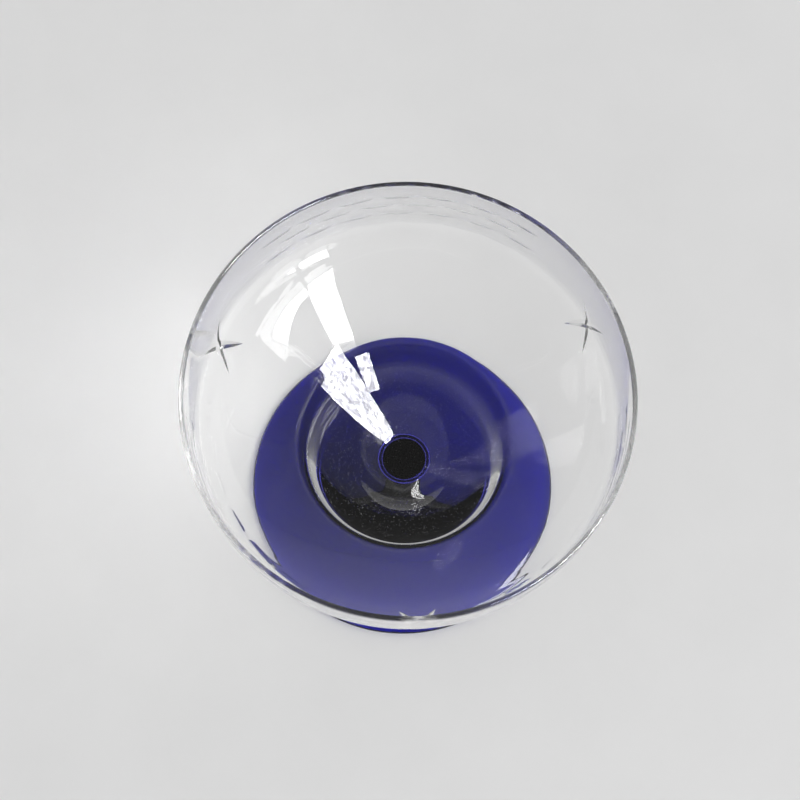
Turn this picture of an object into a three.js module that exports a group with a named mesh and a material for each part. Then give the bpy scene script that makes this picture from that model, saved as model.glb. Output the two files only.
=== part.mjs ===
// A low stemmed glass, mouth up: a clear blown bowl, a short cobalt-blue stem and a cobalt-blue disc foot.
// Millimetres, +Z up. The origin is the centre of the foot's resting face, and +Z is the glass's axis.
import * as THREE from "three";

// Bowl
const HEIGHT = 77.5; // from the table to the rim
const RIM_RADIUS = 48;
const RIM_WALL = 1; // thickness at the rim
const LOWER_WALL = 1.1; // thickness of the sloping wall
const FLOOR_THICKNESS = 6.2; // clear glass between the middle of the inside floor and the stem
const INSIDE_SLOPES = [[0, 0], [5, 20], [21, 32], [24, 37], [38, 43], [42, 50]]; // [radius, degrees]
const SHOULDER_RADIUS = 45.9; // inside, where the sloping wall has turned upright
const SHOULDER_DEPTH = 16; // below the rim
const SHOULDER_LEAN = 8; // degrees from upright
// Outside of the thick base, [radius, degrees]
const BASE_SLOPES = [[7.1, 17], [12.8, 38], [22.4, 53], [23.8, 54]];
const WALL_START_RADIUS = 25.4; // outside, where the base has turned into the wall

// Stem
const STEM_HEIGHT = 22.4; // from the table to the bowl
const STEM_TOP_RADIUS = 7.1; // a thin flared lip pressed onto the bowl
const NECK_RADIUS = 6.2; // just under the lip
const WAIST_RADIUS = 3.7;
const STEM_BASE_RADIUS = 5.4;

// Foot
const FOOT_RADIUS = 37.3;
const FOOT_EDGE = 2.4; // thickness of the rounded edge
const FOOT_CROWN = 5.5; // height of the foot's middle, where the stem stands
const REST_OUTER_RADIUS = 35.5; // the flat ring that touches the table
const REST_INNER_RADIUS = 28;
const FOOT_HOLLOW = 1.2; // how far the underside rises in the middle

const AROUND = 64; // facets round the axis
const CURVE_STEPS = 6; // facets along each curve of a profile
const SLOPE_STEPS = 12; // facets along each stretch given by its slopes

// A closed solid of revolution from points [radius, height] that start and end on the axis.
function turned(points) {
  const profile = points.map(([radius, height]) => new THREE.Vector2(radius, height));
  return new THREE.LatheGeometry(profile, AROUND).rotateX(Math.PI / 2);
}

// Points on a cubic curve from start to end, without start itself.
function curved(start, startPull, endPull, end) {
  const corners = [start, startPull, endPull, end].map(([x, y]) => new THREE.Vector2(x, y));
  const points = new THREE.CubicBezierCurve(...corners).getPoints(CURVE_STEPS);
  return points.slice(1).map((point) => [point.x, point.y]);
}

function steepness(degrees) {
  return Math.tan(THREE.MathUtils.degToRad(degrees));
}

// The slope at a radius, between the two listed slopes on either side of it.
function slopeAt(slopes, radius) {
  const next = Math.max(1, slopes.findIndex(([listed]) => listed >= radius));
  const [[innerRadius, innerSlope], [outerRadius, outerSlope]] = slopes.slice(next - 1, next + 1);
  const share = (radius - innerRadius) / (outerRadius - innerRadius);
  return innerSlope + share * (outerSlope - innerSlope);
}

// Points outwards from the first listed radius to the last, rising at the listed slopes.
function rising(slopes, startHeight) {
  const [first, last] = [slopes[0][0], slopes.at(-1)[0]];
  const step = (last - first) / SLOPE_STEPS;
  const points = [[first, startHeight]];
  for (let i = 0; i < SLOPE_STEPS; i++) {
    const [radius, height] = points.at(-1);
    points.push([radius + step, height + step * steepness(slopeAt(slopes, radius + step / 2))]);
  }
  return points;
}

// The inside of the bowl, from the middle of its floor to the rim.
function insideProfile() {
  const floor = rising(INSIDE_SLOPES, STEM_HEIGHT + FLOOR_THICKNESS);
  const wall = floor.at(-1);
  const shoulder = [SHOULDER_RADIUS, HEIGHT - SHOULDER_DEPTH];
  const rim = [RIM_RADIUS - RIM_WALL, HEIGHT - RIM_WALL / 2];
  const halfTurn = (shoulder[0] - wall[0]) / 2;
  const drop = 0.45 * (shoulder[1] - wall[1]);
  const climb = rim[1] - shoulder[1];
  const lean = steepness(SHOULDER_LEAN);
  return [
    ...floor,
    ...curved(
      wall,
      [wall[0] + halfTurn, wall[1] + halfTurn * steepness(INSIDE_SLOPES.at(-1)[1])],
      [shoulder[0] - drop * lean, shoulder[1] - drop],
      shoulder,
    ),
    ...curved(
      shoulder,
      [shoulder[0] + 0.35 * climb * lean, shoulder[1] + 0.35 * climb],
      [rim[0] - 0.1, rim[1] - 0.4 * climb],
      rim,
    ),
  ];
}

// The outside of the wall: the inside moved out by the wall's thickness, which shrinks towards the rim.
function wallOutside(inside) {
  const bottom = inside[0][1] + 8;
  const top = inside.at(-1)[1];
  const moved = inside.slice(1, -1).map(([radius, height], i) => {
    const [before, after] = [inside[i], inside[i + 2]];
    const along = new THREE.Vector2(after[0] - before[0], after[1] - before[1]).normalize();
    const share = THREE.MathUtils.clamp((height - bottom) / (top - bottom), 0, 1);
    const thickness = THREE.MathUtils.lerp(LOWER_WALL, RIM_WALL, share ** 0.6);
    return [radius + along.y * thickness, height - along.x * thickness];
  });
  return moved.filter(([radius]) => radius >= WALL_START_RADIUS);
}

// The outside runs from the stem up to the rim, and the inside comes back down to the axis.
function makeBowl() {
  const inside = insideProfile();
  return turned([
    [0, STEM_HEIGHT],
    ...rising(BASE_SLOPES, STEM_HEIGHT),
    ...wallOutside(inside),
    [RIM_RADIUS, HEIGHT - RIM_WALL / 2],
    [RIM_RADIUS - RIM_WALL / 2, HEIGHT],
    ...inside.reverse(),
  ]);
}

function makeStem() {
  const base = [STEM_BASE_RADIUS, FOOT_CROWN];
  const waist = [WAIST_RADIUS, FOOT_CROWN + 4];
  const neck = [NECK_RADIUS, STEM_HEIGHT - 1.3];
  return turned([
    [0, FOOT_CROWN],
    base,
    ...curved(base, [WAIST_RADIUS + 0.5, FOOT_CROWN + 0.6], [WAIST_RADIUS, FOOT_CROWN + 2], waist),
    ...curved(waist, [WAIST_RADIUS + 0.3, FOOT_CROWN + 8], [NECK_RADIUS - 0.6, neck[1] - 4], neck),
    [STEM_TOP_RADIUS, STEM_HEIGHT - 0.4],
    [STEM_TOP_RADIUS, STEM_HEIGHT],
    [0, STEM_HEIGHT],
  ]);
}

// The underside is hollow inside its flat ring, and the top slopes up from the rounded edge to the stem.
function makeFoot() {
  const ringInside = [REST_INNER_RADIUS, 0];
  const ringOutside = [REST_OUTER_RADIUS, 0];
  const edge = [FOOT_RADIUS, FOOT_EDGE / 2];
  const edgeTop = [REST_OUTER_RADIUS, FOOT_EDGE];
  const seat = [STEM_BASE_RADIUS, FOOT_CROWN];
  return turned([
    [0, FOOT_HOLLOW],
    ...curved([0, FOOT_HOLLOW], [12, FOOT_HOLLOW], [20, 0.2], ringInside),
    ringOutside,
    ...curved(ringOutside, [FOOT_RADIUS - 0.7, 0], [FOOT_RADIUS, 0.5], edge),
    ...curved(edge, [FOOT_RADIUS, 1.9], [FOOT_RADIUS - 0.7, FOOT_EDGE - 0.1], edgeTop),
    ...curved(edgeTop, [27, 3], [12, 4.1], seat),
    [0, FOOT_CROWN],
  ]);
}

function named(name, geometry, color, roughness) {
  const material = new THREE.MeshStandardMaterial({ color, roughness, metalness: 0 });
  const mesh = new THREE.Mesh(geometry, material);
  mesh.name = name;
  return mesh;
}

const CLEAR_GLASS = 0xdfe5e8;
const COBALT_GLASS = 0x25218c;

const glass = new THREE.Group();
glass.add(named("foot", makeFoot(), COBALT_GLASS, 0.04));
glass.add(named("stem", makeStem(), COBALT_GLASS, 0.04));
glass.add(named("bowl", makeBowl(), CLEAR_GLASS, 0.02));

export default glass;
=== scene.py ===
import math

import bmesh
import bpy
from mathutils import Matrix, Vector


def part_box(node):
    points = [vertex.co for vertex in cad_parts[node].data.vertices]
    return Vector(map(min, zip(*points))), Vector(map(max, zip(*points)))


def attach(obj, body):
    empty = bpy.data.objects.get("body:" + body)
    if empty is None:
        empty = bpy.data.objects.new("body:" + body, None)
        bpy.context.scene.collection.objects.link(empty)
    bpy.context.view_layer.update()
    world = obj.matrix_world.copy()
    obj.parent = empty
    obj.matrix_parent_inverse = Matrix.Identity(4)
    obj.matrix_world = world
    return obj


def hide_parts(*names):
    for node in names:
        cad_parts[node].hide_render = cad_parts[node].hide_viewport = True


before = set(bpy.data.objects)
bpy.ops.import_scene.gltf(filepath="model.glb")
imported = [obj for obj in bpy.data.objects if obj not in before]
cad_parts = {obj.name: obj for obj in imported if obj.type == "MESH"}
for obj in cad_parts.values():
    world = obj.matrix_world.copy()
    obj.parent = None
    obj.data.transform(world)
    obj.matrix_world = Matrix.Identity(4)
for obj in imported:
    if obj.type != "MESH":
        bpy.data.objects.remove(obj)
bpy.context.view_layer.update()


# FOOT
# A wide disc of cobalt-blue glass, gathered by itself, pressed flat and fire-polished, so that its
# edge is round. It stands on a ring near the edge, is hollow inside the ring, and rises to the stem.

mm = 0.001
around = 400  # facets round the axis
foot_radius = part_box("foot")[1].x
foot_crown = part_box("foot")[1].z
foot_edge = 2.4 * mm
foot_hollow = 1.2 * mm
rest_outer = foot_radius - 1.8 * mm
rest_inner = 28 * mm
edge_pull = 0.7 * mm  # how far in from the edge its rounding starts to turn
stem_base = 5.4 * mm
fused_gap = 0.01 * mm  # between pieces that were melted together
glass_ior = 1.5
join_ior = 1.0  # light goes straight through a melted join
cobalt_colour = (0.15, 0.12, 0.82, 1)  # absorption takes red and green and leaves most of the blue
cobalt_density = 1300  # per metre, so a third of the red and green is left after a millimetre
fingermarks_per_metre = 1600.0
fingermark_roughness = 0.05
flat_enough = 0.99  # least upward share of the direction of a face that was melted to another


def curved(start, start_pull, end_pull, end, steps=24):
    """Points along a cubic curve in a piece's section, without its start."""
    points = []
    for step in range(1, steps + 1):
        t = step / steps
        weights = ((1 - t) ** 3, 3 * t * (1 - t) ** 2, 3 * t * t * (1 - t), t**3)
        corners = (start, start_pull, end_pull, end)
        points.append(tuple(sum(w * c[axis] for w, c in zip(weights, corners)) for axis in (0, 1)))
    return points


def turned(name, section):
    """A closed smooth solid from a section of (radius, height) points that starts and ends on the axis."""
    shape = bmesh.new()
    rings = []
    for radius, height in section:
        turns = [2 * math.pi * i / around for i in range(around)] if radius else [0]
        rings.append([shape.verts.new((radius * math.cos(a), radius * math.sin(a), height)) for a in turns])
    for ring, following in zip(rings, rings[1:]):
        for i in range(around):
            here = [ring[i % len(ring)], ring[(i + 1) % len(ring)]]
            there = [following[(i + 1) % len(following)], following[i % len(following)]]
            shape.faces.new(list(dict.fromkeys(here + there)))
    bmesh.ops.recalc_face_normals(shape, faces=shape.faces)
    mesh = bpy.data.meshes.new(name)
    shape.to_mesh(mesh)
    shape.free()
    mesh.shade_smooth()
    piece = bpy.data.objects.new(name, mesh)
    bpy.context.scene.collection.objects.link(piece)
    return piece


def add_node(tree, kind, inputs=(), **settings):
    """A new node with its settings, and its inputs set to values or joined to other nodes' outputs."""
    made = tree.nodes.new(kind)
    for name, value in settings.items():
        setattr(made, name, value)
    for socket, value in dict(inputs).items():
        if isinstance(value, bpy.types.NodeSocket):
            tree.links.new(value, made.inputs[socket])
        else:
            made.inputs[socket].default_value = value
    return made


def new_glass(name, ior):
    """Colourless glass that is clear all through."""
    material = bpy.data.materials.new(name)
    material.use_nodes = True
    shader = material.node_tree.nodes["Principled BSDF"]
    shader.inputs["Base Color"].default_value = (1, 1, 1, 1)
    shader.inputs["Roughness"].default_value = 0
    shader.inputs["IOR"].default_value = ior
    shader.inputs["Transmission Weight"].default_value = 1
    return material


def colour_through(material):
    """Gives a glass the cobalt's colour, which deepens with thickness."""
    tree = material.node_tree
    absorption = tree.nodes.new("ShaderNodeVolumeAbsorption")
    absorption.inputs["Color"].default_value = cobalt_colour
    absorption.inputs["Density"].default_value = cobalt_density
    tree.links.new(absorption.outputs["Volume"], tree.nodes["Material Output"].inputs["Volume"])


def radius_of(tree):
    """The distance from the glass's axis."""
    place = add_node(tree, "ShaderNodeTexCoord").outputs["Object"]
    flat = add_node(tree, "ShaderNodeVectorMath", {0: place, 1: (1, 1, 0)}, operation="MULTIPLY")
    return add_node(tree, "ShaderNodeVectorMath", {0: flat.outputs[0]}, operation="LENGTH").outputs["Value"]


def cobalt_surface(name, ring_spacing, ring_depth):
    """Cobalt glass with fingermarks, and the faint rings that turning it against a wooden tool leaves."""
    material = new_glass(name, glass_ior)
    colour_through(material)
    tree = material.node_tree
    shader = tree.nodes["Principled BSDF"]
    rings = add_node(
        tree,
        "ShaderNodeTexNoise",
        {"W": radius_of(tree), "Scale": 1 / ring_spacing, "Detail": 2.0},
        noise_dimensions="1D",
    )
    bump = add_node(tree, "ShaderNodeBump", {"Height": rings.outputs[0], "Distance": ring_depth})
    tree.links.new(bump.outputs["Normal"], shader.inputs["Normal"])
    place = add_node(tree, "ShaderNodeTexCoord").outputs["Object"]
    handling = add_node(
        tree, "ShaderNodeTexNoise", {"Vector": place, "Scale": fingermarks_per_metre, "Detail": 4.0}
    )
    marks = add_node(
        tree,
        "ShaderNodeMapRange",
        {
            "Value": handling.outputs[0],
            "From Min": 0.55,
            "From Max": 0.8,
            "To Max": fingermark_roughness,
        },
    )
    tree.links.new(marks.outputs["Result"], shader.inputs["Roughness"])
    return material


def fuse(piece, heights, radius, material):
    """Gives the flat faces that are melted to a neighbour a material through which light goes straight."""
    piece.data.materials.append(material)
    for face in piece.data.polygons:
        level = min(abs(face.center.z - height) for height in heights)
        flat = abs(face.normal.z) > flat_enough
        if flat and level < 2 * fused_gap and face.center.xy.length < radius:
            face.material_index = len(piece.data.materials) - 1


foot_seat = foot_crown - fused_gap
foot_edge_top = (rest_outer, foot_edge)
foot_edge_middle = (foot_radius, foot_edge / 2)
foot = turned(
    "foot_disc",
    [
        (0, foot_hollow),
        *curved((0, foot_hollow), (12 * mm, foot_hollow), (20 * mm, 0.2 * mm), (rest_inner, 0)),
        *curved((rest_inner, 0), (30 * mm, 0), (34 * mm, 0), (rest_outer, 0), steps=4),
        *curved((rest_outer, 0), (foot_radius - edge_pull, 0), (foot_radius, 0.5 * mm), foot_edge_middle),
        *curved(
            foot_edge_middle,
            (foot_radius, 1.9 * mm),
            (foot_radius - edge_pull, 2.3 * mm),
            foot_edge_top,
        ),
        *curved(foot_edge_top, (27 * mm, 3 * mm), (12 * mm, 4.1 * mm), (stem_base, foot_seat), steps=48),
        (0, foot_seat),
    ],
)
cobalt_foot = cobalt_surface("cobalt_foot", ring_spacing=2.5 * mm, ring_depth=0.02 * mm)
cobalt_join = new_glass("cobalt_join", join_ior)
colour_through(cobalt_join)
foot.data.materials.append(cobalt_foot)
fuse(foot, [foot_seat], stem_base, cobalt_join)
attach(foot, "root")
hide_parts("foot")


# STEM
# A short piece of cobalt glass, drawn thin in the middle while hot. Its top is pressed out against
# the bottom of the bowl into a lip with a rounded bead, and its base is melted into the foot.

stem_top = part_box("stem")[1].z
stem_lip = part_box("stem")[1].x
stem_waist = 3.7 * mm
lip_bead = 1.1 * mm  # width of the rounded bead round the lip
bead_drop = 0.8 * mm  # how far the bead hangs below the top
bead_pull = 0.25 * mm

stem_seat = stem_top - fused_gap
waist_point = (stem_waist, foot_crown + 4 * mm)
neck_point = (stem_lip - lip_bead, stem_top - 0.35 * mm)
bead_point = (stem_lip - lip_bead / 2, stem_top - bead_drop)
stem = turned(
    "stem_drawn",
    [
        (0, foot_crown),
        (stem_base, foot_crown),
        *curved(
            (stem_base, foot_crown),
            (stem_waist + 0.5 * mm, foot_crown + 0.6 * mm),
            (stem_waist, foot_crown + 2 * mm),
            waist_point,
        ),
        *curved(
            waist_point,
            (stem_waist + 0.3 * mm, foot_crown + 8 * mm),
            (neck_point[0] - 0.6 * mm, stem_top - 3.5 * mm),
            neck_point,
        ),
        *curved(
            neck_point,
            (neck_point[0] + 0.05 * mm, stem_top - 0.9 * bead_drop),
            (bead_point[0] - bead_pull, bead_point[1]),
            bead_point,
            steps=12,
        ),
        *curved(
            bead_point,
            (bead_point[0] + bead_pull, bead_point[1]),
            (stem_lip, stem_top - 0.5 * mm),
            (stem_lip, stem_seat),
            steps=12,
        ),
        (0, stem_seat),
    ],
)
stem.data.materials.append(cobalt_surface("cobalt_stem", ring_spacing=1.2 * mm, ring_depth=0.01 * mm))
fuse(stem, [foot_crown, stem_seat], stem_lip, cobalt_join)
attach(stem, "root")
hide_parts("stem")


# BOWL
# Clear glass, blown thin at the rim and left thick at the bottom, where the outside bulges to meet
# the stem. The sloping inside turns up at a soft shoulder into a nearly upright wall.

rim_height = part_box("bowl")[1].z
rim_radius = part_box("bowl")[1].x
rim_wall = 1.0 * mm
lower_wall = 1.1 * mm
floor_thickness = 6.2 * mm
# Millimetres from the axis, and the slope there in degrees from level
inside_slopes = ((0, 0), (5, 20), (21, 32), (24, 37), (38, 43), (42, 50))
base_slopes = ((7.1, 17), (12.8, 38), (22.4, 53), (23.8, 54))  # of the outside, under the thick bottom
wall_start = 25.4 * mm  # radius from which the outside follows the inside
shoulder = (45.9 * mm, rim_height - 16 * mm)  # on the inside
shoulder_lean = math.tan(math.radians(8))
thinning_start = 8 * mm  # above the floor
thinning = 0.6  # the power of the height by which the wall thins; below 1 it thins early
rim_rounding = 0.6 * mm  # height of the rounding on either side of the rim
pull = 0.35  # share of a stretch that a curve runs before it starts to turn
shoulder_pull = 0.45
rim_pull = 0.4
rim_flare = 0.1 * mm  # of the inside, over the last part of the wall
waves_per_metre = 90.0
wave_depth = 0.03 * mm
wave_stretch = 0.15  # the waves are this much slower up the wall than round it
specks_per_metre = 1500.0
dusty_radius = 14 * mm  # the dust lies on the floor inside this radius
clean_radius = 24 * mm
clean_roughness = 0.1


def rising(slopes, start_height, steps=40):
    """Points outwards from the first listed radius to the last, rising at the listed slopes."""
    first, last = slopes[0][0], slopes[-1][0]
    step = (last - first) / steps
    points = [(first * mm, start_height)]
    for i in range(steps):
        middle = first + (i + 0.5) * step
        pair = next(p for p in zip(slopes, slopes[1:]) if middle <= p[1][0])
        (inner, inner_slope), (outer, outer_slope) = pair
        slope = inner_slope + (middle - inner) / (outer - inner) * (outer_slope - inner_slope)
        radius, height = points[-1]
        points.append((radius + step * mm, height + step * mm * math.tan(math.radians(slope))))
    return points


def inside_section():
    """The inside of the bowl, from the middle of its floor up to the rim."""
    floor = rising(inside_slopes, stem_top + floor_thickness)
    wall = floor[-1]
    half_turn = (shoulder[0] - wall[0]) / 2
    steepness = math.tan(math.radians(inside_slopes[-1][1]))
    drop = shoulder_pull * (shoulder[1] - wall[1])
    rim = (rim_radius - rim_wall, rim_height - rim_rounding)
    climb = rim[1] - shoulder[1]
    return [
        *floor,
        *curved(
            wall,
            (wall[0] + half_turn, wall[1] + half_turn * steepness),
            (shoulder[0] - drop * shoulder_lean, shoulder[1] - drop),
            shoulder,
            steps=20,
        ),
        *curved(
            shoulder,
            (shoulder[0] + pull * climb * shoulder_lean, shoulder[1] + pull * climb),
            (rim[0] - rim_flare, rim[1] - rim_pull * climb),
            rim,
            steps=16,
        ),
    ]


def wall_outside(inside):
    """The inside moved out by the wall's thickness, which shrinks towards the rim."""
    bottom = inside[0][1] + thinning_start
    top = inside[-1][1]
    moved = []
    for before, (radius, height), after in zip(inside, inside[1:], inside[2:]):
        along = Vector(after) - Vector(before)
        along.normalize()
        share = min(max((height - bottom) / (top - bottom), 0), 1)
        thickness = lower_wall + share**thinning * (rim_wall - lower_wall)
        if radius + along.y * thickness > wall_start:
            moved.append((radius + along.y * thickness, height - along.x * thickness))
    return moved


def bowl_section():
    """The outside from the stem up to the rim, and the inside back down to the axis."""
    inside = inside_section()
    base = rising(base_slopes, stem_top)
    outside = wall_outside(inside)
    reach = outside[0][0] - base[-1][0]
    base_steepness = math.tan(math.radians(base_slopes[-1][1]))
    wall_steepness = (outside[1][1] - outside[0][1]) / (outside[1][0] - outside[0][0])
    turn = curved(
        base[-1],
        (base[-1][0] + pull * reach, base[-1][1] + pull * reach * base_steepness),
        (outside[0][0] - pull * reach, outside[0][1] - pull * reach * wall_steepness),
        outside[0],
        steps=10,
    )
    rim_top = (rim_radius - rim_wall / 2, rim_height)
    rim_side = (rim_radius, rim_height - rim_rounding)
    side_pull = rim_height - 0.2 * mm
    top_pull = 0.3 * mm
    round_outside = curved(
        rim_side, (rim_side[0], side_pull), (rim_top[0] + top_pull, rim_height), rim_top, steps=8
    )
    round_inside = curved(
        rim_top, (rim_top[0] - top_pull, rim_height), (inside[-1][0], side_pull), inside[-1], steps=8
    )
    return [
        (0, stem_top),
        *base,
        *turn,
        *outside[1:],
        rim_side,
        *round_outside,
        *round_inside,
        *inside[-2::-1],
    ]


def clear_surface(name, roughest):
    """Clear glass with long faint waves down the wall, and specks of dust that are rough to the light."""
    material = new_glass(name, glass_ior)
    tree = material.node_tree
    shader = tree.nodes["Principled BSDF"]
    place = add_node(tree, "ShaderNodeTexCoord").outputs["Object"]
    stretched = add_node(
        tree, "ShaderNodeVectorMath", {0: place, 1: (1, 1, wave_stretch)}, operation="MULTIPLY"
    )
    waves = add_node(
        tree,
        "ShaderNodeTexNoise",
        {"Vector": stretched.outputs[0], "Scale": waves_per_metre, "Detail": 1.0},
    )
    bump = add_node(tree, "ShaderNodeBump", {"Height": waves.outputs[0], "Distance": wave_depth})
    tree.links.new(bump.outputs["Normal"], shader.inputs["Normal"])
    dust = add_node(tree, "ShaderNodeTexVoronoi", {"Vector": place, "Scale": specks_per_metre})
    settled = add_node(
        tree,
        "ShaderNodeMapRange",
        {
            "Value": radius_of(tree),
            "From Min": dusty_radius,
            "From Max": clean_radius,
            "To Min": roughest,
            "To Max": clean_roughness,
        },
    )
    specks = add_node(
        tree,
        "ShaderNodeMapRange",
        {
            "Value": dust.outputs["Distance"],
            "From Min": 0.1,
            "From Max": 0.17,
            "To Min": settled.outputs["Result"],
            "To Max": 0.0,
        },
    )
    tree.links.new(specks.outputs["Result"], shader.inputs["Roughness"])
    return material


bowl = turned("bowl_blown", bowl_section())
clear_glass = clear_surface("clear_glass", roughest=0.7)
bowl.data.materials.append(clear_glass)


# CUTS
# Ground into the outside of the wall with small stone wheels and polished: three stars of two
# crossing V-grooves, and between them rows of shallow oval marks laid like bricks.

star_turns = (31, 161, 276)  # degrees round the axis
star_height = 58.6 * mm
star_arm = 13 * mm
star_width = 1.8 * mm
star_depth = 0.5 * mm
mark_length = 8.9 * mm
mark_width = 3.4 * mm
mark_depth = 0.065 * mm
mark_rows = 5
row_pitch = 3.7 * mm
first_row = 57.2 * mm
mark_pitch = 11.6  # degrees
clear_of_star = 24  # degrees from a star's middle to the nearest mark
run_out = 0.9 * mm  # how far the rows run out of true
overhang = 1.07  # a wheel reaches this much past the ends and edges of its mark
groove_overhang = 1.6  # and this much past the edges of a groove
lower_edge = 0.5  # extra steepness of a mark at its lower edge
wheel_height = 1.2 * mm  # of a wheel's shape, outwards from the wall
crease_angle = math.radians(6)
smooth_rim = 1 * mm  # nothing this close to the top of the rim is a crease


def surface_shape(name, columns, rows, place):
    """A closed wheel-edge shape: a grid whose lower face place(u, v) gives, under a flat lid."""
    shape = bmesh.new()
    grid = [
        [shape.verts.new(place(2 * i / columns - 1, 2 * j / rows - 1)) for i in range(columns + 1)]
        for j in range(rows + 1)
    ]
    for near, far in zip(grid, grid[1:]):
        for i in range(columns):
            shape.faces.new((near[i], near[i + 1], far[i + 1], far[i]))
    border = [edge for edge in shape.edges if edge.is_boundary]
    lid = bmesh.ops.extrude_edge_only(shape, edges=border)["geom"]
    for vert in (v for v in lid if isinstance(v, bmesh.types.BMVert)):
        vert.co.z = wheel_height
    bmesh.ops.contextual_create(shape, geom=[e for e in shape.edges if e.is_boundary])
    bmesh.ops.recalc_face_normals(shape, faces=shape.faces)
    mesh = bpy.data.meshes.new(name)
    shape.to_mesh(mesh)
    shape.free()
    return bpy.data.objects.new(name, mesh)


def groove(u, v):
    """A V-groove, deepest in the middle, that runs out to a point at both ends."""
    along, across = u * overhang, v * groove_overhang
    depth = star_depth * (abs(across) - (1 - along * along))
    return along * star_arm / 2, across * star_width / 2, depth


def shallow_oval(u, v):
    """A shallow dish with round ends, steeper along its lower edge."""
    along, across = u * overhang, v * overhang
    depth = mark_depth * (along**4 + across**2 - 1) * (1 - lower_edge * across)
    return along * mark_length / 2, across * mark_width / 2, depth


def wheel_places(name, places):
    """The middles of the cuts as points: (degrees round, height, turn), with the wall unrolled flat."""
    mesh = bpy.data.meshes.new(name)
    unrolled = [(math.radians(degrees) * rim_radius, height, 0) for degrees, height, _ in places]
    mesh.from_pydata(unrolled, [], [])
    turns = mesh.attributes.new("turn", "FLOAT", "POINT")
    turns.data.foreach_set("value", [turn for _, _, turn in places])
    return bpy.data.objects.new(name, mesh)


def row_height(height, degrees):
    """The height of a row at this place round the wall, because the rows run a little out of true."""
    return height + run_out * math.cos(math.radians(degrees))


def brick_places():
    """The marks of every row between each star and the next, with every other row half a mark on."""
    places = []
    ends = (*star_turns[1:], star_turns[0] + 360)
    for start, end in zip(star_turns, ends):
        room = end - start - 2 * clear_of_star
        for row in range(mark_rows):
            shift = row % 2 * mark_pitch / 2
            count = int((room - shift) / mark_pitch)
            for i in range(count):
                degrees = start + clear_of_star + shift + (i + 0.5) * mark_pitch
                places.append((degrees, row_height(first_row + row * row_pitch, degrees), 0))
    return places


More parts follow.
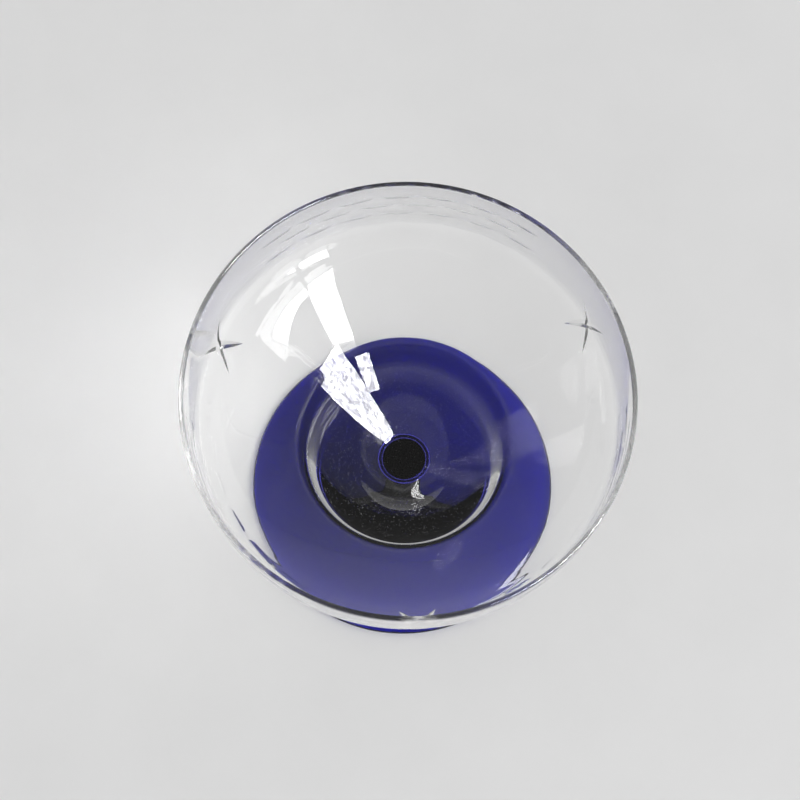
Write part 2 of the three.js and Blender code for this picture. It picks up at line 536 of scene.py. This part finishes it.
def cutting_tree(name, cut_material):
    """Wraps a wheel's shape onto the wall at each place, and cuts all of them out of the bowl."""
    tree = bpy.data.node_groups.new(name, "GeometryNodeTree")
    tree.interface.new_socket("Geometry", in_out="INPUT", socket_type="NodeSocketGeometry")
    tree.interface.new_socket("Places", in_out="INPUT", socket_type="NodeSocketObject")
    tree.interface.new_socket("Wheel", in_out="INPUT", socket_type="NodeSocketObject")
    tree.interface.new_socket("Rim Radius", in_out="INPUT", socket_type="NodeSocketFloat")
    tree.interface.new_socket("Rim Height", in_out="INPUT", socket_type="NodeSocketFloat")
    tree.interface.new_socket("Geometry", in_out="OUTPUT", socket_type="NodeSocketGeometry")
    given = add_node(tree, "NodeGroupInput").outputs
    position = add_node(tree, "GeometryNodeInputPosition").outputs[0]

    # One wheel at each place on the unrolled wall.
    places = add_node(tree, "GeometryNodeObjectInfo", {"Object": given["Places"]})
    wheel = add_node(tree, "GeometryNodeObjectInfo", {"Object": given["Wheel"]})
    turn = add_node(tree, "GeometryNodeInputNamedAttribute", {"Name": "turn"}, data_type="FLOAT")
    about_depth = add_node(tree, "ShaderNodeCombineXYZ", {"Z": turn.outputs["Attribute"]})
    rotation = add_node(tree, "FunctionNodeEulerToRotation", {"Euler": about_depth.outputs[0]})
    wheels = add_node(
        tree,
        "GeometryNodeInstanceOnPoints",
        {
            "Points": places.outputs["Geometry"],
            "Instance": wheel.outputs["Geometry"],
            "Rotation": rotation.outputs[0],
        },
    )
    separate = add_node(tree, "GeometryNodeRealizeInstances", {"Geometry": wheels.outputs[0]})

    # From the unrolled wall (distance round, height, depth) to the real one.
    unrolled = add_node(tree, "ShaderNodeSeparateXYZ", {0: position})
    angle = add_node(
        tree, "ShaderNodeMath", {0: unrolled.outputs["X"], 1: given["Rim Radius"]}, operation="DIVIDE"
    ).outputs[0]
    cosine = add_node(tree, "ShaderNodeMath", {0: angle}, operation="COSINE").outputs[0]
    sine = add_node(tree, "ShaderNodeMath", {0: angle}, operation="SINE").outputs[0]
    outward = add_node(tree, "ShaderNodeCombineXYZ", {"X": cosine, "Y": sine}).outputs[0]
    span = add_node(tree, "ShaderNodeMath", {0: given["Rim Radius"], 1: 2}, operation="MULTIPLY").outputs[0]
    away = add_node(tree, "ShaderNodeVectorMath", {0: outward, "Scale": span}, operation="SCALE").outputs[0]
    level = add_node(tree, "ShaderNodeCombineXYZ", {"Z": unrolled.outputs["Y"]}).outputs[0]
    start = add_node(tree, "ShaderNodeVectorMath", {0: away, 1: level}, operation="ADD").outputs[0]
    inward = add_node(tree, "ShaderNodeVectorMath", {0: outward, "Scale": -1}, operation="SCALE").outputs[0]
    wall = add_node(
        tree,
        "GeometryNodeRaycast",
        {
            "Target Geometry": given["Geometry"],
            "Source Position": start,
            "Ray Direction": inward,
            "Ray Length": span,
        },
    )
    depth = add_node(
        tree,
        "ShaderNodeVectorMath",
        {0: wall.outputs["Hit Normal"], "Scale": unrolled.outputs["Z"]},
        operation="SCALE",
    ).outputs[0]
    wrapped = add_node(
        tree, "ShaderNodeVectorMath", {0: wall.outputs["Hit Position"], 1: depth}, operation="ADD"
    ).outputs[0]
    on_wall = add_node(
        tree, "GeometryNodeSetPosition", {"Geometry": separate.outputs[0], "Position": wrapped}
    )

    # The cut and the crease along its edges. The rim's own rounding stays smooth.
    cutters = add_node(
        tree, "GeometryNodeSetMaterial", {"Geometry": on_wall.outputs[0], "Material": cut_material}
    )
    cut = add_node(tree, "GeometryNodeMeshBoolean", operation="DIFFERENCE", solver="MANIFOLD")
    tree.links.new(given["Geometry"], cut.inputs["Mesh 1"])
    tree.links.new(cutters.outputs[0], cut.inputs["Mesh 2"])
    bend = add_node(tree, "GeometryNodeInputMeshEdgeAngle").outputs["Unsigned Angle"]
    bent = add_node(tree, "FunctionNodeCompare", {0: bend, 1: crease_angle}, operation="GREATER_THAN")
    here = add_node(tree, "ShaderNodeSeparateXYZ", {0: position})
    rounding = add_node(
        tree, "ShaderNodeMath", {0: given["Rim Height"], 1: smooth_rim}, operation="SUBTRACT"
    )
    below = add_node(
        tree, "FunctionNodeCompare", {0: here.outputs["Z"], 1: rounding.outputs[0]}, operation="LESS_THAN"
    )
    sharp = add_node(
        tree, "FunctionNodeBooleanMath", {0: bent.outputs[0], 1: below.outputs[0]}, operation="AND"
    )
    creased = add_node(
        tree,
        "GeometryNodeStoreNamedAttribute",
        {"Geometry": cut.outputs[0], "Name": "sharp_edge", "Value": sharp.outputs[0]},
        data_type="BOOLEAN",
        domain="EDGE",
    )
    smooth = add_node(tree, "GeometryNodeSetShadeSmooth", {"Geometry": creased.outputs[0]})
    ground = add_node(tree, "GeometryNodeMaterialSelection", {"Material": cut_material})
    blown = add_node(tree, "FunctionNodeBooleanMath", {0: ground.outputs[0]}, operation="NOT")
    whole = add_node(tree, "GeometryNodeRealizeInstances", {"Geometry": smooth.outputs[0]})
    finished = add_node(
        tree,
        "GeometryNodeSetMaterial",
        {"Geometry": whole.outputs[0], "Selection": blown.outputs[0], "Material": clear_glass},
    )
    add_node(tree, "NodeGroupOutput", {0: finished.outputs[0]})
    return tree


def cut_with(piece, tree, places, wheel):
    """Adds the cutting tree to a piece, with its inputs set by their identifiers."""
    modifier = piece.modifiers.new(places.name, "NODES")
    modifier.node_group = tree
    sockets = {s.name: s.identifier for s in tree.interface.items_tree if s.in_out == "INPUT"}
    modifier[sockets["Places"]] = places
    modifier[sockets["Wheel"]] = wheel
    modifier[sockets["Rim Radius"]] = rim_radius
    modifier[sockets["Rim Height"]] = rim_height


polished_cut = clear_surface("polished_cut", roughest=0.3)
cutting = cutting_tree("wheel_cutting", polished_cut)
groove_wheel = surface_shape("groove_wheel", columns=24, rows=2, place=groove)
oval_wheel = surface_shape("oval_wheel", columns=20, rows=14, place=shallow_oval)
eighth_turn = math.radians(45)
star_places = [(degrees, row_height(star_height, degrees)) for degrees in star_turns]
cut_with(bowl, cutting, wheel_places("brick_rows", brick_places()), oval_wheel)
# The two arms of a star cross each other, so they are cut one after the other.
rising_arms = wheel_places("rising_arms", [(*place, eighth_turn) for place in star_places])
falling_arms = wheel_places("falling_arms", [(*place, -eighth_turn) for place in star_places])
cut_with(bowl, cutting, rising_arms, groove_wheel)
cut_with(bowl, cutting, falling_arms, groove_wheel)
cut_mesh = bpy.data.meshes.new_from_object(bowl.evaluated_get(bpy.context.evaluated_depsgraph_get()))
bowl.modifiers.clear()
bowl.data = cut_mesh
fuse(bowl, [stem_top], stem_lip, new_glass("clear_join", join_ior))
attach(bowl, "root")
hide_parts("bowl")


# TABLE AND LIGHT
# A plain pale table top in a pale room that is darker overhead. The brightest light comes from a
# window on the right and in front: a narrow and a wide light below a thin transom, and two above.

table_size = 12  # metres
paint_patches_per_metre = 40.0
paint_shades = (0.84, 0.86)
table_drop = 0.03 * mm  # below the foot's resting ring, which is never quite flat
table_mesh = bpy.data.meshes.new("table")
corner = table_size / 2
table_corners = [(-corner, -corner), (corner, -corner), (corner, corner), (-corner, corner)]
table_mesh.from_pydata([(x, y, -table_drop) for x, y in table_corners], [], [(0, 1, 2, 3)])
table = bpy.data.objects.new("table", table_mesh)
bpy.context.scene.collection.objects.link(table)
paint = bpy.data.materials.new("table_paint")
paint.use_nodes = True
paint_tree = paint.node_tree
paint_shader = paint_tree.nodes["Principled BSDF"]
paint_place = add_node(paint_tree, "ShaderNodeTexCoord").outputs["Object"]
paint_noise = add_node(
    paint_tree,
    "ShaderNodeTexNoise",
    {"Vector": paint_place, "Scale": paint_patches_per_metre, "Detail": 6.0},
)
paint_colour = add_node(
    paint_tree,
    "ShaderNodeMapRange",
    {
        "Value": paint_noise.outputs[0],
        "From Min": 0.3,
        "From Max": 0.7,
        "To Min": paint_shades[0],
        "To Max": paint_shades[1],
    },
)
paint_tree.links.new(paint_colour.outputs["Result"], paint_shader.inputs["Base Color"])
paint_shader.inputs["Roughness"].default_value = 0.6
paint_shader.inputs["Specular IOR Level"].default_value = 0.2
table_mesh.materials.append(paint)

window_distance = 2.5  # metres
shine_distance = window_distance - 10 * mm  # so that no two lamps coincide
# Each light from and to, round from +X and then up from level, and its lean, all in degrees
window_lights = (
    ((-54, -41.5), (12, 29.5), 12),
    ((-41.5, -14), (10.5, 20.5), 0),
    ((-57, -45), (34, 49), 12),
    ((-42.5, -10), (26.5, 63), 10),
)
soft_radiance = (3.2, 3.0, 3.2, 3.2)  # what each gives to everything
shine_radiance = (22.0, 15.0, 30.0, 30.0)  # what each adds in reflections only
twigs_per_metre = 9.0
behind_twigs, between_twigs = 0.3, 1.1  # share of the shine that comes through


def window_light(name, light, radiance, distance):
    """A rectangular lamp that fills the given range of directions as seen from the glass."""
    round_range, up_range, lean = light
    azimuth, elevation = (math.radians(sum(span) / 2) for span in (round_range, up_range))
    width, height = (math.radians(span[1] - span[0]) * distance for span in (round_range, up_range))
    towards = Vector(
        (
            math.cos(elevation) * math.cos(azimuth),
            math.cos(elevation) * math.sin(azimuth),
            math.sin(elevation),
        )
    )
    across = Vector((-math.sin(azimuth), math.cos(azimuth), 0))
    lamp = bpy.data.lights.new(name, "AREA")
    lamp.shape = "RECTANGLE"
    lamp.size = width * math.cos(elevation)
    lamp.size_y = height
    lamp.energy = radiance * math.pi * lamp.size * lamp.size_y
    placed = bpy.data.objects.new(name, lamp)
    facing = Matrix((across, towards.cross(across), towards)).transposed()
    middle = Vector((0, 0, rim_height)) + towards * distance
    leaning = Matrix.Rotation(math.radians(-lean), 4, "Z")
    placed.matrix_world = Matrix.Translation(middle) @ facing.to_4x4() @ leaning
    bpy.context.scene.collection.objects.link(placed)
    return placed


def behind_branches(lamp):
    """Breaks a lamp's light up, as bare branches outside a window do."""
    lamp.use_nodes = True
    tree = lamp.node_tree
    place = add_node(tree, "ShaderNodeNewGeometry").outputs["Position"]
    twigs = add_node(
        tree,
        "ShaderNodeTexNoise",
        {"Vector": place, "Scale": twigs_per_metre, "Detail": 5.0, "Roughness": 0.6, "Distortion": 0.8},
    )
    share = add_node(
        tree,
        "ShaderNodeMapRange",
        {
            "Value": twigs.outputs[0],
            "From Min": 0.42,
            "From Max": 0.55,
            "To Min": behind_twigs,
            "To Max": between_twigs,
        },
    )
    tree.links.new(share.outputs["Result"], tree.nodes["Emission"].inputs["Strength"])


for light, softness, shininess in zip(window_lights, soft_radiance, shine_radiance):
    window_light("window_soft", light, softness, window_distance)
    shine = window_light("window_shine", light, shininess, shine_distance)
    behind_branches(shine.data)
    shine.visible_diffuse = False
    shine.visible_transmission = False

room_light = ((0.0, 0.45), (0.3, 0.27), (1.0, 0.27))  # radiance from level, 0, to straight up, 1
room_light_through = 2.05  # times as much of it reaches the table, and what is seen deep in the glass
shallow_crossings = 4.0  # surfaces of glass that light crosses before it counts as deep
world = bpy.data.worlds.new("room")
bpy.context.scene.world = world
world.cycles.sampling_method = "NONE"
world.use_nodes = True
room_tree = world.node_tree
direction = add_node(room_tree, "ShaderNodeTexCoord").outputs["Generated"]
upwards = add_node(room_tree, "ShaderNodeSeparateXYZ", {0: direction}).outputs["Z"]
shades = add_node(room_tree, "ShaderNodeValToRGB", {"Fac": upwards})
while len(shades.color_ramp.elements) < len(room_light):
    shades.color_ramp.elements.new(0.5)
for element, (position, shade) in zip(shades.color_ramp.elements, room_light):
    element.position = position
    element.color = (shade, shade, shade, 1)
path = add_node(room_tree, "ShaderNodeLightPath").outputs
deep = add_node(
    room_tree,
    "ShaderNodeMath",
    {0: path["Transmission Depth"], 1: shallow_crossings},
    operation="SUBTRACT",
)
reached = add_node(
    room_tree, "ShaderNodeMath", {0: path["Diffuse Depth"], 1: deep.outputs[0]}, operation="MAXIMUM"
)
strength = add_node(
    room_tree,
    "ShaderNodeMapRange",
    {"Value": reached.outputs[0], "To Min": 1.0, "To Max": room_light_through},
)
background = room_tree.nodes["Background"]
room_tree.links.new(shades.outputs["Color"], background.inputs["Color"])
room_tree.links.new(strength.outputs["Result"], background.inputs["Strength"])


# CAMERA
# High over the glass and a little in front of it, and turned slightly about its own line of sight.

view_tilt = math.radians(17.2)  # from straight down
view_roll = math.radians(-3)
view_distance = 8 * rim_radius
aim_right = -0.03652 * rim_radius  # from the middle of the mouth to the point aimed at
aim_up = -0.03217 * rim_radius
most_bounces = 48  # light crosses many surfaces inside the glass

view_back = Vector((0, -math.sin(view_tilt), math.cos(view_tilt)))
level_right = Vector((1, 0, 0))
level_up = view_back.cross(level_right)
view_right = level_right * math.cos(view_roll) - level_up * math.sin(view_roll)
view_up = level_right * math.sin(view_roll) + level_up * math.cos(view_roll)
aim = Vector((0, 0, rim_height)) + view_right * aim_right + view_up * aim_up
camera_data = bpy.data.cameras.new("camera")
camera_data.sensor_width = 36
camera_data.lens = 82.8
camera_data.clip_start = 0.01
camera = bpy.data.objects.new("camera", camera_data)
facing = Matrix((view_right, view_up, view_back)).transposed()
camera.matrix_world = Matrix.Translation(aim + view_back * view_distance) @ facing.to_4x4()
bpy.context.scene.collection.objects.link(camera)
bpy.context.scene.camera = camera

scene = bpy.context.scene
scene.view_settings.view_transform = "Standard"
scene.cycles.caustics_refractive = True
scene.cycles.caustics_reflective = True
scene.cycles.max_bounces = most_bounces
scene.cycles.transmission_bounces = most_bounces
scene.cycles.glossy_bounces = most_bounces
scene.cycles.sample_clamp_indirect = 12
scene.cycles.use_denoising = True
